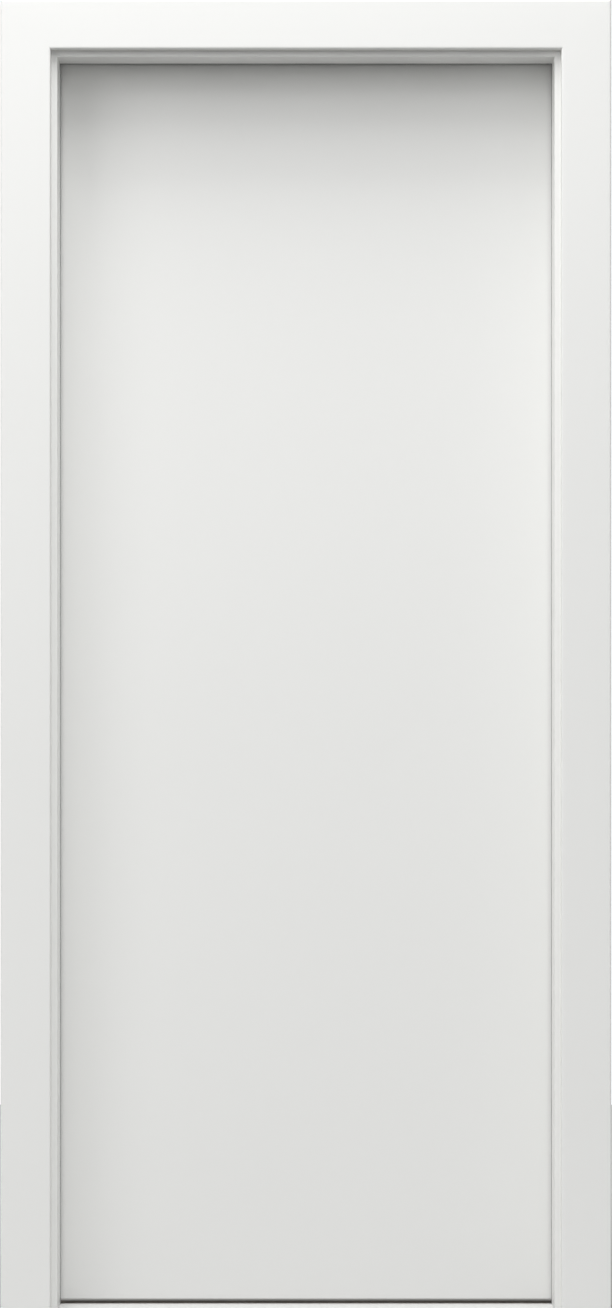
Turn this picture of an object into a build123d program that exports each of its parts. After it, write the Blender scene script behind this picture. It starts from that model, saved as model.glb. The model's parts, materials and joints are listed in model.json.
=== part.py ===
from build123d import *
import os

# Flush interior door in its frame: a white lacquered lining with a casing on both sides of
# the wall, and a rebated leaf on barrel hinges.
# Millimetres. X runs across the doorway, Y through the wall from the push side to the pull
# side, and Z is up. The origin is on the wall-side face of the hinge jamb's lining, at floor
# level and halfway through the wall.

# Doorway
clear_width = 800
clear_height = 2020
wall_thickness = 80

# Lining boards
lining_thickness = 22
lining_front_ease = 1
lining_rear_ease = 1.5

# Push-side casing
front_casing_width = 80
front_casing_thickness = 18
front_casing_setback = 10
front_casing_ease = 6

# Pull-side casing, whose inner edge is the rebate that the leaf closes into
rebate_casing_width = 80
rebate_casing_thickness = 25
rebate_casing_setback = 13
rebate_casing_ease = 2

# Tongue on each casing, in a groove in the lining's edge
tongue_thickness = 4
tongue_length = 10
tongue_inset = 4.5
tongue_play = 0.2
groove_spare = 1

# Seal between lining and leaf
seal_gap = 5
seal_proud = 0.3
seal_width = 8.3
seal_round = 2
seal_wall = 0.9
seal_clearance = 0.3
kerf_centre = 6
kerf_width = 3
kerf_depth = 7
stem_play = 0.1
stem_core = 1.2
stem_barb_height = 1.6
stem_barb_count = 3

# Steel plates let into the backs of the casings across each mitre
plate_length = 70
plate_width = 18
plate_thickness = 1.5
plate_corner_cut = 4
plate_play = 0.2
plate_pocket_depth = 2.5

# Leaf
leaf_side_gap = 6
floor_gap = 8
leaf_body_depth = 25
lip_thickness = 15
lip_reach = 15
facing_thickness = 3
facing_ease = 1
stile_width = 38
top_rail_height = 38
bottom_rail_height = 60

# Hinges
barrel_radius = 7.5
barrel_lip_gap = 1
barrel_length = 42
barrel_chamfer = 1.5
hinge_inset = 240
hinge_count = 3
pin_radius = 4
pin_clearance = 0.05
pin_engagement = 34
pin_end_spare = 1
ring_thickness = 1.5
ring_clearance = 0.2
running_gap = 0.3
spigot_radius = 3.5
spigot_clearance = 0.1
spigot_spacing = 24
spigot_end_spare = 0.5
leaf_spigot_depth = 30
frame_spigot_depth = 23

# Levels and lines that follow from the sizes above
clear_left = lining_thickness
clear_right = clear_left + clear_width
middle_x = clear_left + clear_width / 2
wall_front = -wall_thickness / 2
wall_back = wall_thickness / 2
front_face_y = wall_front - front_casing_thickness
rebate_face_y = wall_back + rebate_casing_thickness
leaf_push_y = wall_back + seal_gap
leaf_step_y = leaf_push_y + leaf_body_depth
leaf_pull_y = leaf_step_y + lip_thickness
body_reach = rebate_casing_setback - leaf_side_gap
lip_outer_reach = body_reach + lip_reach
body_top = clear_height + body_reach
lip_top = clear_height + lip_outer_reach
hinge_x = clear_left - lip_outer_reach - barrel_lip_gap - barrel_radius
hinge_y = leaf_pull_y - lip_thickness / 2
frame_reach = max(
    front_casing_setback + front_casing_width,
    rebate_casing_setback + rebate_casing_width,
)
hinge_span = lip_top - floor_gap - 2 * hinge_inset
hinge_levels = [
    floor_gap + hinge_inset + hinge_span * step / (hinge_count - 1)
    for step in range(hinge_count)
]

# Sketch planes whose own X points outward from the clear opening and whose own Y is the
# depth through the wall, so that one profile serves both jambs and the head
hinge_plane = Plane(origin=(clear_left, 0, 0), x_dir=(-1, 0, 0), z_dir=(0, 0, -1))
latch_plane = Plane(origin=(clear_right, 0, 0), x_dir=(1, 0, 0), z_dir=(0, 0, 1))
head_plane = Plane(origin=(middle_x, 0, clear_height), x_dir=(0, 0, 1), z_dir=(-1, 0, 0))

# Mitre planes at the two upper corners, facing up into the head
hinge_mitre = Plane(origin=(clear_left, 0, clear_height), z_dir=(1, 0, 1))
latch_mitre = Plane(origin=(clear_right, 0, clear_height), z_dir=(-1, 0, 1))


def frame_length(place, draw_profile):
    """Carry a profile along one side of the doorway and mitre it where it meets the next."""
    with BuildPart() as length:
        if place == "head":
            with BuildSketch(head_plane) as section:
                draw_profile(section)
            extrude(amount=clear_width / 2 + frame_reach, both=True)
            split(bisect_by=hinge_mitre, keep=Keep.TOP)
            split(bisect_by=latch_mitre, keep=Keep.TOP)
        elif place == "hinge":
            with BuildSketch(hinge_plane) as section:
                draw_profile(section)
            extrude(amount=clear_height + frame_reach, dir=(0, 0, 1))
            split(bisect_by=hinge_mitre, keep=Keep.BOTTOM)
        else:
            with BuildSketch(latch_plane) as section:
                draw_profile(section)
            extrude(amount=clear_height + frame_reach, dir=(0, 0, 1))
            split(bisect_by=latch_mitre, keep=Keep.BOTTOM)
    return length


def draw_lining(section):
    """Board across the wall, grooved in both edges and kerfed for the seal."""
    groove_width = tongue_thickness + 2 * tongue_play
    groove_depth = tongue_length + groove_spare
    front_groove = front_casing_setback + tongue_inset
    rear_groove = rebate_casing_setback + tongue_inset
    with Locations((lining_thickness / 2, 0)):
        Rectangle(lining_thickness, wall_thickness)
    fillet(section.vertices().group_by(Axis.Y)[0].sort_by(Axis.X)[0], lining_front_ease)
    fillet(section.vertices().group_by(Axis.Y)[-1].sort_by(Axis.X)[0], lining_rear_ease)
    with Locations((front_groove, wall_front + groove_depth / 2)):
        Rectangle(groove_width, groove_depth, mode=Mode.SUBTRACT)
    with Locations((rear_groove, wall_back - groove_depth / 2)):
        Rectangle(groove_width, groove_depth, mode=Mode.SUBTRACT)
    with Locations((kerf_centre, wall_back - kerf_depth / 2)):
        Rectangle(kerf_width, kerf_depth, mode=Mode.SUBTRACT)


def draw_casing(section, setback, width, back_y, face_y, ease, tongue_step):
    """Flat casing with both show arrises eased, and a tongue behind its inner edge."""
    thickness = abs(face_y - back_y)
    with Locations((setback + width / 2, (back_y + face_y) / 2)):
        Rectangle(width, thickness)
    rows = section.vertices().group_by(Axis.Y)
    show_corners = rows[0] if face_y < back_y else rows[-1]
    fillet(show_corners, ease)
    with Locations((setback + tongue_inset, back_y + tongue_step * tongue_length / 2)):
        Rectangle(tongue_thickness, tongue_length)


def draw_front_casing(section):
    """Section of the push-side casing."""
    draw_casing(
        section,
        front_casing_setback,
        front_casing_width,
        wall_front,
        front_face_y,
        front_casing_ease,
        1,
    )


def draw_rebate_casing(section):
    """Section of the pull-side casing."""
    draw_casing(
        section,
        rebate_casing_setback,
        rebate_casing_width,
        wall_back,
        rebate_face_y,
        rebate_casing_ease,
        -1,
    )


def barb_outline(barb_y):
    """Closed outline of one barb on the seal's stem, widest at its upper edge."""
    half_barb = kerf_width / 2 - stem_play
    half_core = stem_core / 2
    with BuildLine() as outline:
        Polyline(
            (kerf_centre - half_barb, barb_y),
            (kerf_centre + half_barb, barb_y),
            (kerf_centre + half_core, barb_y - stem_barb_height),
            (kerf_centre - half_core, barb_y - stem_barb_height),
            close=True,
        )
    return outline.edges()


def draw_seal(section):
    """Hollow seal bead that just shows past the lining's face, on a barbed stem in the kerf."""
    bead_height = seal_gap - seal_clearance
    stem_depth = kerf_depth - stem_play
    with Locations((seal_width / 2 - seal_proud, wall_back + bead_height / 2)):
        Rectangle(seal_width, bead_height)
    fillet(section.vertices().group_by(Axis.Y)[-1], seal_round)
    offset(amount=-seal_wall, kind=Kind.INTERSECTION, mode=Mode.SUBTRACT)
    with Locations((kerf_centre, wall_back - stem_depth / 2)):
        Rectangle(stem_core, stem_depth)
    for step in range(stem_barb_count):
        barb_y = wall_back - stem_depth * (step + 1) / (stem_barb_count + 1)
        make_face(barb_outline(barb_y))


os.makedirs("parts", exist_ok=True)


def save(piece, name):
    """Label a finished piece and write its STEP file."""
    piece.part.label = name
    export_step(piece.part, f"parts/{name}.step")


# Lining and seal: hinge jamb, latch jamb and head
for place in ("hinge", "latch", "head"):
    save(frame_length(place, draw_lining), f"lining_{place}")
    save(frame_length(place, draw_seal), f"seal_{place}")

# Each casing: its profile, how far out the middle of its width lies, its back, and the way
# from its back into the board
casings = {
    "front_casing": (
        draw_front_casing,
        front_casing_setback + front_casing_width / 2,
        wall_front,
        -1,
    ),
    "rebate_casing": (
        draw_rebate_casing,
        rebate_casing_setback + rebate_casing_width / 2,
        wall_back,
        1,
    ),
}
corners_of = {"hinge": ["hinge"], "latch": ["latch"], "head": ["hinge", "latch"]}
spigot_hole_radius = spigot_radius + spigot_clearance
frame_spigot_levels = [
    level - barrel_length / 2 + side * spigot_spacing / 2
    for level in hinge_levels
    for side in (-1, 1)
]


def corner_plane(corner, reach, back_y, inward):
    """Plane on a casing's back at the middle of a mitre, with its X square to the mitre."""
    if corner == "hinge":
        origin = (clear_left - reach, back_y, clear_height + reach)
        return Plane(origin=origin, x_dir=(1, 0, 1), z_dir=(0, inward, 0))
    origin = (clear_right + reach, back_y, clear_height + reach)
    return Plane(origin=origin, x_dir=(-1, 0, 1), z_dir=(0, inward, 0))


for kind, (draw_profile, reach, back_y, inward) in casings.items():
    for place in ("hinge", "latch", "head"):
        with BuildPart() as casing:
            add(frame_length(place, draw_profile).part)
            # Pockets for the corner plates
            for corner in corners_of[place]:
                with BuildSketch(corner_plane(corner, reach, back_y, inward)):
                    Rectangle(plate_length + 2 * plate_play, plate_width + 2 * plate_play)
                extrude(amount=plate_pocket_depth, mode=Mode.SUBTRACT)
            # Bores for the frame spigots of the hinges
            if kind == "rebate_casing" and place == "hinge":
                for level in frame_spigot_levels:
                    spigot_mouth = (hinge_x, rebate_face_y, level)
                    with BuildSketch(Plane(origin=spigot_mouth, z_dir=(0, -1, 0))):
                        Circle(spigot_hole_radius)
                    extrude(amount=frame_spigot_depth + spigot_end_spare, mode=Mode.SUBTRACT)
        save(casing, f"{kind}_{place}")
    for corner in ("hinge", "latch"):
        with BuildPart() as corner_plate:
            pocket_floor = corner_plane(corner, reach, back_y, inward).offset(plate_pocket_depth)
            with BuildSketch(pocket_floor):
                plate_outline = Rectangle(plate_length, plate_width)
                chamfer(plate_outline.vertices(), plate_corner_cut)
            extrude(amount=-plate_thickness)
        save(corner_plate, f"{kind}_plate_{corner}")

# Leaf stile on the hinge side: full height, stepped for the lip, bored for the leaf spigots
leaf_spigot_levels = [
    level + ring_thickness + running_gap + barrel_length / 2 + side * spigot_spacing / 2
    for level in hinge_levels
    for side in (-1, 1)
]
core_front_y = leaf_push_y + facing_thickness
core_back_y = leaf_pull_y - facing_thickness


def leaf_stile(plane, name, bored):
    """Upright of the leaf, from its bottom to the top of the lip, stepped on two sides."""
    with BuildPart() as stile:
        with BuildSketch(plane):
            with BuildLine():
                Polyline(
                    (body_reach - stile_width, core_front_y),
                    (body_reach, core_front_y),
                    (body_reach, leaf_step_y),
                    (lip_outer_reach, leaf_step_y),
                    (lip_outer_reach, core_back_y),
                    (body_reach - stile_width, core_back_y),
                    close=True,
                )
            make_face()
        extrude(amount=lip_top - floor_gap, dir=(0, 0, 1))
        with BuildSketch(Plane(origin=(middle_x, 0, body_top), z_dir=(0, 0, 1))):
            with Locations((0, (core_front_y + leaf_step_y) / 2)):
                Rectangle(clear_width + 2 * lip_outer_reach, leaf_step_y - core_front_y)
        extrude(amount=lip_reach, mode=Mode.SUBTRACT)
        if bored:
            for level in leaf_spigot_levels:
                lip_edge = (clear_left - lip_outer_reach, hinge_y, level)
                with BuildSketch(Plane(origin=lip_edge, z_dir=(1, 0, 0))):
                    Circle(spigot_hole_radius)
                extrude(amount=leaf_spigot_depth + spigot_end_spare, mode=Mode.SUBTRACT)
    save(stile, name)


leaf_stile(hinge_plane.offset(-floor_gap), "leaf_stile_hinge", True)
leaf_stile(latch_plane.offset(floor_gap), "leaf_stile_latch", False)

# Leaf rails between the stiles
inner_width = clear_width + 2 * body_reach - 2 * stile_width

with BuildPart() as leaf_rail_top:
    with BuildSketch(Plane(origin=(middle_x, 0, 0), x_dir=(0, 1, 0), z_dir=(1, 0, 0))):
        with BuildLine():
            Polyline(
                (core_front_y, body_top - top_rail_height),
                (core_front_y, body_top),
                (leaf_step_y, body_top),
                (leaf_step_y, lip_top),
                (core_back_y, lip_top),
                (core_back_y, body_top - top_rail_height),
                close=True,
            )
        make_face()
    extrude(amount=inner_width / 2, both=True)
save(leaf_rail_top, "leaf_rail_top")

with BuildPart() as leaf_rail_bottom:
    with BuildSketch(Plane(origin=(middle_x, (core_front_y + core_back_y) / 2, floor_gap))):
        Rectangle(inner_width, core_back_y - core_front_y)
    extrude(amount=bottom_rail_height)
save(leaf_rail_bottom, "leaf_rail_bottom")

# Board core between stiles and rails
core_bottom = floor_gap + bottom_rail_height
core_top = body_top - top_rail_height
with BuildPart() as leaf_core:
    with BuildSketch(Plane(origin=(middle_x, (core_front_y + core_back_y) / 2, core_bottom))):
        Rectangle(inner_width, core_back_y - core_front_y)
    extrude(amount=core_top - core_bottom)
save(leaf_core, "leaf_core")

# Facings: the push-side one covers the body, the pull-side one covers the lip as well
with BuildPart() as leaf_facing_push:
    push_sheet = Plane(
        origin=(middle_x, core_front_y, (floor_gap + body_top) / 2),
        x_dir=(1, 0, 0),
        z_dir=(0, -1, 0),
    )
    with BuildSketch(push_sheet):
        Rectangle(clear_width + 2 * body_reach, body_top - floor_gap)
    extrude(amount=facing_thickness)
    fillet(leaf_facing_push.faces().sort_by(Axis.Y)[0].edges(), facing_ease)
save(leaf_facing_push, "leaf_facing_push")

with BuildPart() as leaf_facing_pull:
    pull_sheet = Plane(
        origin=(middle_x, core_back_y, (floor_gap + lip_top) / 2),
        x_dir=(1, 0, 0),
        z_dir=(0, 1, 0),
    )
    with BuildSketch(pull_sheet):
        Rectangle(clear_width + 2 * lip_outer_reach, lip_top - floor_gap)
    extrude(amount=facing_thickness)
    fillet(leaf_facing_pull.faces().sort_by(Axis.Y)[-1].edges(), facing_ease)
save(leaf_facing_pull, "leaf_facing_pull")


def hinge_axis_plane(level):
    """Horizontal plane centred on the hinge axis at one level."""
    return Plane(origin=(hinge_x, hinge_y, level), z_dir=(0, 0, 1))


def make_hinge(number, level):
    """Two-part barrel hinge: frame barrel, pin, bearing ring and leaf barrel."""
    bore_radius = pin_radius + pin_clearance
    leaf_barrel_bottom = level + ring_thickness + running_gap

    with BuildPart() as frame_barrel:
        with BuildSketch(hinge_axis_plane(level - barrel_length)):
            Circle(barrel_radius)
        extrude(amount=barrel_length)
        chamfer(frame_barrel.edges().sort_by(Axis.Z)[0], barrel_chamfer)
        for side in (-1, 1):
            spigot_level = level - barrel_length / 2 + side * spigot_spacing / 2
            with BuildSketch(Plane(origin=(hinge_x, hinge_y, spigot_level), z_dir=(0, -1, 0))):
                Circle(spigot_radius)
            extrude(amount=hinge_y - rebate_face_y + frame_spigot_depth)
        with BuildSketch(hinge_axis_plane(level)):
            Circle(bore_radius)
        extrude(amount=-pin_engagement, mode=Mode.SUBTRACT)
    save(frame_barrel, f"hinge_frame_{number}")

    with BuildPart() as pin:
        with BuildSketch(hinge_axis_plane(level - pin_engagement)):
            Circle(pin_radius)
        extrude(amount=pin_engagement + ring_thickness + running_gap + pin_engagement)
    save(pin, f"hinge_pin_{number}")

    with BuildPart() as ring:
        with BuildSketch(hinge_axis_plane(level)):
            Circle(barrel_radius)
            Circle(pin_radius + ring_clearance, mode=Mode.SUBTRACT)
        extrude(amount=ring_thickness)
    save(ring, f"hinge_ring_{number}")

    with BuildPart() as leaf_barrel:
        with BuildSketch(hinge_axis_plane(leaf_barrel_bottom)):
            Circle(barrel_radius)
        extrude(amount=barrel_length)
        chamfer(leaf_barrel.edges().sort_by(Axis.Z)[-1], barrel_chamfer)
        for side in (-1, 1):
            spigot_level = leaf_barrel_bottom + barrel_length / 2 + side * spigot_spacing / 2
            with BuildSketch(Plane(origin=(hinge_x, hinge_y, spigot_level), z_dir=(1, 0, 0))):
                Circle(spigot_radius)
            extrude(amount=barrel_radius + barrel_lip_gap + leaf_spigot_depth)
        with BuildSketch(hinge_axis_plane(leaf_barrel_bottom)):
            Circle(bore_radius)
        extrude(amount=pin_engagement + pin_end_spare, mode=Mode.SUBTRACT)
    save(leaf_barrel, f"hinge_leaf_{number}")


for number, level in enumerate(hinge_levels, start=1):
    make_hinge(number, level)
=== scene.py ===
# %% [markdown]
# A plain white interior door in its frame, from solids to a catalogue picture. The joiner's
# work comes in as a fixed frame of solids: the lining round the doorway, the casings on both
# sides of the wall, the leaf and its hinges. This lesson gives every surface its finish, makes
# the turned, threaded and extruded pieces that solids only stand in for, and sets up the
# camera and the light. Everything is in metres. X runs across the doorway, Y through the wall
# from the push side to the pull side, and Z is up.

# %% Load the frame
import json
import math

import bpy
import numpy as np
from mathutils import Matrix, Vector
from mathutils.geometry import tessellate_polygon


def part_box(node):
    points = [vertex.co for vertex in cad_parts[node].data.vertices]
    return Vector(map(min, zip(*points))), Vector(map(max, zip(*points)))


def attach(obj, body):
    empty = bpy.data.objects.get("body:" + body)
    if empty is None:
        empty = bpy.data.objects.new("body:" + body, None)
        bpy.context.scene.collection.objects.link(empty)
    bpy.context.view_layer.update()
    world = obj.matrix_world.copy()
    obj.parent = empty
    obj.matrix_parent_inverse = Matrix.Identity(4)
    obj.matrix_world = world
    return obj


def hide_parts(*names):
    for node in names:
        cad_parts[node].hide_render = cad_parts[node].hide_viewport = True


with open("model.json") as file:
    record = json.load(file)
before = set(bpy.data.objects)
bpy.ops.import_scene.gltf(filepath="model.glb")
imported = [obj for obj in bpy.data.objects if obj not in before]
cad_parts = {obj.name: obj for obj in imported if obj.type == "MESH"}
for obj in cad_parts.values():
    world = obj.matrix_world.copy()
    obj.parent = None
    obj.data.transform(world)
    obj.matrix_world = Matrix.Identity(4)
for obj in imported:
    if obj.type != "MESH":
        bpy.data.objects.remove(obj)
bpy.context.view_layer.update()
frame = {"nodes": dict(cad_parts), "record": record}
MM = 0.001

# %% [markdown]
# The sizes that several pieces share could be typed in again, but then a wider door would need
# two edits. They are read off the frame instead: the lining's inner faces give the clear
# opening, the casings give the outline that the picture frames, and the leaf's pull-side facing
# gives the height of its foot.


# %% Read the shared sizes off the frame
def low(node):
    """Lowest corner of a node's box at rest."""
    return Vector(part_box(node)[0])


def high(node):
    """Highest corner of a node's box at rest."""
    return Vector(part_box(node)[1])


clear_left = high("lining_hinge").x
clear_right = low("lining_latch").x
clear_top = low("lining_head").z
middle_x = (clear_left + clear_right) / 2
lining_front = low("lining_head").y
lining_back = high("lining_head").y
lining_left = low("lining_head").x
lining_right = high("lining_head").x
lining_top = high("lining_head").z
casing_face = low("front_casing_head").y
casing_top = high("front_casing_head").z
rebate_face = high("rebate_casing_head").y
leaf_bottom = low("leaf_facing_pull").z
print(f"clear opening {clear_right - clear_left:.3f} by {clear_top:.3f} m")
print(f"leaf foot {leaf_bottom:.4f} m up")

# %% [markdown]
# The picture was taken square-on with a long lens. A camera could be placed by eye, but two
# facts in the picture fix it. The casings fill the picture from side to side, which ties the
# lens to the distance. The inner faces of the lining shrink by one part in eighty from their
# front edge to their back edge, which gives the distance once the wall is taken as 80 mm
# thick. Upright edges stay upright in the picture, so the camera looks level, and it stands as
# high as the picture's middle, a little over a metre below the top of the casing.

# %% Camera
SENSOR = 36.0
PHOTO_HEIGHT = 1308
CAMERA_DISTANCE = 6.6
MM_PER_PIXEL = 1.6046
HORIZON_BELOW_TOP = 1.051

camera_y = lining_front - CAMERA_DISTANCE
face_distance = casing_face - camera_y
focal_pixels = face_distance / (MM_PER_PIXEL * MM)
camera_data = bpy.data.cameras.new("camera")
camera_data.sensor_width = SENSOR
camera_data.lens = SENSOR * focal_pixels / PHOTO_HEIGHT
camera = bpy.data.objects.new("camera", camera_data)
camera.location = (middle_x, camera_y, casing_top - HORIZON_BELOW_TOP)
camera.rotation_euler = (math.pi / 2, 0, 0)
bpy.context.collection.objects.link(camera)
bpy.context.scene.camera = camera
print(f"lens {camera_data.lens:.1f} mm at {face_distance:.2f} m, {camera.location.z:.3f} m up")

# %% [markdown]
# Material and world nodes are easier to read as formulas than as a list of clicks, so some
# small helpers come first. One adds a node and fills its inputs, either with a value or with
# another node's output. Others do arithmetic on such outputs, blend two colours, or make two
# tones of one colour. The last two keep light and look apart: one shader lights the door, and
# another is what the camera and a mirror see.


# %% Helpers for shader nodes
def add_node(tree, kind, sources=None, **settings):
    """Add a node: settings are its own properties, and sources fill its inputs by name or number."""
    made = tree.nodes.new(kind)
    for key, value in settings.items():
        setattr(made, key, value)
    for key, value in (sources or {}).items():
        if isinstance(value, bpy.types.NodeSocket):
            tree.links.new(value, made.inputs[key])
        else:
            made.inputs[key].default_value = value
    return made


def maths(tree, operation, *values):
    """Result of a Math node on numbers or outputs."""
    sources = dict(enumerate(values))
    return add_node(tree, "ShaderNodeMath", sources, operation=operation).outputs[0]


def blend_colours(tree, factor, first, second):
    """Colour that is the first at factor 0 and the second at factor 1."""
    made = add_node(tree, "ShaderNodeMix", {0: factor}, data_type="RGBA")
    for slot_number, colour in ((6, first), (7, second)):
        if isinstance(colour, bpy.types.NodeSocket):
            tree.links.new(colour, made.inputs[slot_number])
        else:
            made.inputs[slot_number].default_value = (*colour, 1)
    return made.outputs[2]


def toned(tree, factor, colour, tones):
    """One colour in two tones: times the first number at factor 0 and the second at factor 1."""
    dark, light = ([part * tone for part in colour] for tone in tones)
    return blend_colours(tree, factor, dark, light)


def seen_directly(tree):
    """1 for the rays that show a background: those of the camera, of a mirror and of glass."""
    path = add_node(tree, "ShaderNodeLightPath").outputs
    seen = maths(tree, "MAXIMUM", path["Is Camera Ray"], path["Is Glossy Ray"])
    return maths(tree, "MAXIMUM", seen, path["Is Transmission Ray"])


def lit_or_shown(tree, lighting, shown):
    """One shader for the light on the door, and another for the rays that show a background."""
    sources = {0: seen_directly(tree), 1: lighting.outputs[0], 2: shown.outputs[0]}
    return add_node(tree, "ShaderNodeMixShader", sources).outputs[0]


print("helpers for shader nodes are ready")

# %% [markdown]
# A showroom picture has one white background and soft light from above, and the leaf is in the
# soft shadow of its own frame. A sky of even strength all round would fill that shadow and
# flatten the reveal, so this world lights the door from above the horizon only. To the camera
# and in mirror-like surfaces it is plain white at strength 1.

# %% World
SKY_STRENGTH = 0.604
WHITE = (1, 1, 1, 1)

bpy.context.scene.view_settings.view_transform = "Standard"
world = bpy.data.worlds.new("studio")
bpy.context.scene.world = world
world.use_nodes = True
sky = world.node_tree
sky.nodes.clear()
direction = add_node(sky, "ShaderNodeTexCoord").outputs["Generated"]
upward = add_node(sky, "ShaderNodeSeparateXYZ", {0: direction}).outputs["Z"]
above_horizon = maths(sky, "GREATER_THAN", upward, 0.0)
fill_strength = maths(sky, "MULTIPLY", above_horizon, SKY_STRENGTH)
fill = add_node(sky, "ShaderNodeBackground", {"Color": WHITE, "Strength": fill_strength})
backdrop = add_node(sky, "ShaderNodeBackground", {"Color": WHITE, "Strength": 1.0})
add_node(sky, "ShaderNodeOutputWorld", {"Surface": lit_or_shown(sky, fill, backdrop)})
print("sky fill above the horizon:", SKY_STRENGTH)

# %% [markdown]
# The shading on the leaf says where the lamps are. Its top edge is dark and clears over some
# 200 mm, which takes lamps that are spread out in depth. The left jamb shades only a narrow
# strip, which a wide lamp would blur, so these lamps are narrow strips that hang in line with
# the doorway, from close to the wall out to the camera. One large soft box up to the left makes
# the right jamb's inner face the brighter one. A weak one to the right and a weak strip in front
# lift what it leaves dark. Each is aimed at the upper middle of the doorway. They hang high
# because a low lamp would bleach the head of the casing. Their powers were balanced one lamp at
# a time against the tones of the leaf, the reveal and the casings.

# %% Lamps
AIM_HEIGHT = 1.2
AIM = Vector((middle_x, 0.0, AIM_HEIGHT))
LAMPS = {
    "over_doorway": {"across": 0.0, "out": 1.4, "up": 6.4, "size": (0.5, 1.8), "watts": 87.6},
    "over_left_jamb": {"across": -0.8, "out": 1.4, "up": 6.4, "size": (0.5, 1.8), "watts": 69.5},
    "over_approach": {"across": -0.3, "out": 3.0, "up": 6.0, "size": (0.5, 1.8), "watts": 79.8},
    "over_camera": {"across": -0.5, "out": 5.0, "up": 5.2, "size": (0.6, 1.8), "watts": 29.2},
    "upper_left": {"across": -3.2, "out": 3.0, "up": 3.4, "size": (2.0, 2.5), "watts": 42.7},
    "upper_right": {"across": 3.0, "out": 4.0, "up": 3.6, "size": (2.0, 2.5), "watts": 9.8},
    "front": {"across": -0.5, "out": 5.4, "up": 3.4, "size": (0.6, 1.4), "watts": 10.7},
}
for name, lamp in LAMPS.items():
    data = bpy.data.lights.new(name, "AREA")
    data.shape = "RECTANGLE"
    data.size, data.size_y = lamp["size"]
    data.energy = lamp["watts"]
    light = bpy.data.objects.new(name, data)
    light.location = (middle_x + lamp["across"], -lamp["out"], lamp["up"])
    light.rotation_euler = (AIM - light.location).to_track_quat("-Z", "Y").to_euler()
    bpy.context.collection.objects.link(light)
    print(f"{name}: {(AIM - light.location).length:.2f} m away, {data.energy:.0f} W")

# %% [markdown]
# The floor is one flat sheet. A pale floor would throw its light up at the door, which the
# picture doesn't show, so it is pale to the camera and grey to the light that bounces. It still
# takes the door's shadow.

# %% Floor
FLOOR_REACH = 3.0
PALE = (0.62, 0.62, 0.61, 1)
GREY = (0.30, 0.30, 0.30, 1)

floor_mesh = bpy.data.meshes.new("floor")
corner_signs = np.array([[-1, -1], [1, -1], [1, 1], [-1, 1]])
floor_corners = np.column_stack([corner_signs * FLOOR_REACH + (middle_x, 0), np.zeros(4)])
floor_mesh.from_pydata(floor_corners.tolist(), [], [(0, 1, 2, 3)])
floor = bpy.data.objects.new("floor", floor_mesh)
bpy.context.collection.objects.link(floor)
floor_paint = bpy.data.materials.new("floor_paint")
floor_paint.use_nodes = True
tree = floor_paint.node_tree
tree.nodes.clear()
pale = add_node(tree, "ShaderNodeBsdfDiffuse", {"Color": PALE})
grey = add_node(tree, "ShaderNodeBsdfDiffuse", {"Color": GREY})
add_node(tree, "ShaderNodeOutputMaterial", {"Surface": lit_or_shown(tree, grey, pale)})
floor_mesh.materials.append(floor_paint)
print("floor reaches", FLOOR_REACH, "m each way")

# %% [markdown]
# The door is sprayed with a satin white lacquer on smooth fibreboard. A single colour would do
# from across the room, but close up a sprayed film has a fine orange peel, a gloss that varies
# a little, and a barely uneven tone. What faces the wall is not painted: there the board is
# bare, brown and fibrous, with a ragged rim of overspray. One function makes this finish for
# every board. It takes the planes beyond which the board is bare, and a distance from the rim
# of the bare face, both worked out from the place of a point on the object.

# %% Patterns by place on the object
SKIN = 0.2 * MM


def new_material(name):
    """A plain material, its nodes, its shader, and the Object coordinates that patterns go by."""
    material = bpy.data.materials.new(name)
    material.use_nodes = True
    tree = material.node_tree
    place = add_node(tree, "ShaderNodeTexCoord").outputs["Object"]
    return material, tree, tree.nodes["Principled BSDF"], place


def add_relief(tree, shader, height, distance):
    """Tilt a shader's normals as if a height from 0 to 1 stood up by that much of a distance."""
    bump = add_node(tree, "ShaderNodeBump", {"Height": height, "Distance": distance})
    tree.links.new(bump.outputs[0], shader.inputs["Normal"])


def noise(tree, place, waves, detail=2.0, stretch=(1, 1, 1)):
    """Cloudy pattern from 0 to 1: so many waves to the metre, times the stretch along each axis."""
    stretched = add_node(tree, "ShaderNodeMapping", {"Vector": place, "Scale": stretch}).outputs[0]
    sources = {"Vector": stretched, "Scale": waves, "Detail": detail}
    return add_node(tree, "ShaderNodeTexNoise", sources).outputs["Fac"]


def spread(tree, value, low_in, high_in, low_out, high_out, smooth=False):
    """Map a value from one range to another and clamp it there, on a straight or a smooth step."""
    sources = {0: value, 1: low_in, 2: high_in, 3: low_out, 4: high_out}
    shape = "SMOOTHSTEP" if smooth else "LINEAR"
    return add_node(tree, "ShaderNodeMapRange", sources, interpolation_type=shape).outputs[0]


def least(tree, *values):
    """Smallest of several outputs."""
    smallest = values[0]
    for value in values[1:]:
        smallest = maths(tree, "MINIMUM", smallest, value)
    return smallest


def beyond(tree, parts, planes):
    """1 where a point lies beyond any of the planes, each an axis, a side and a place in metres."""
    found = None
    for axis, side, at in planes:
        operation = "GREATER_THAN" if side > 0 else "LESS_THAN"
        past = maths(tree, operation, parts[axis], at - side * SKIN)
        found = past if found is None else maths(tree, "MAXIMUM", found, past)
    return found


print("helpers for patterns are ready")

# %% Lacquered board
PAINT = (0.868, 0.870, 0.852)
CLOUD_WAVES = 1.7
CLOUD_TONES = (0.99, 1.01)
PEEL_WAVES = 420.0
PEEL_HEIGHT = 0.02 * MM
GLOSS_WAVES = 14.0
NOISE_RANGE = (0.3, 0.7)
LACQUER_ROUGHNESS = (0.38, 0.46)

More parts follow.
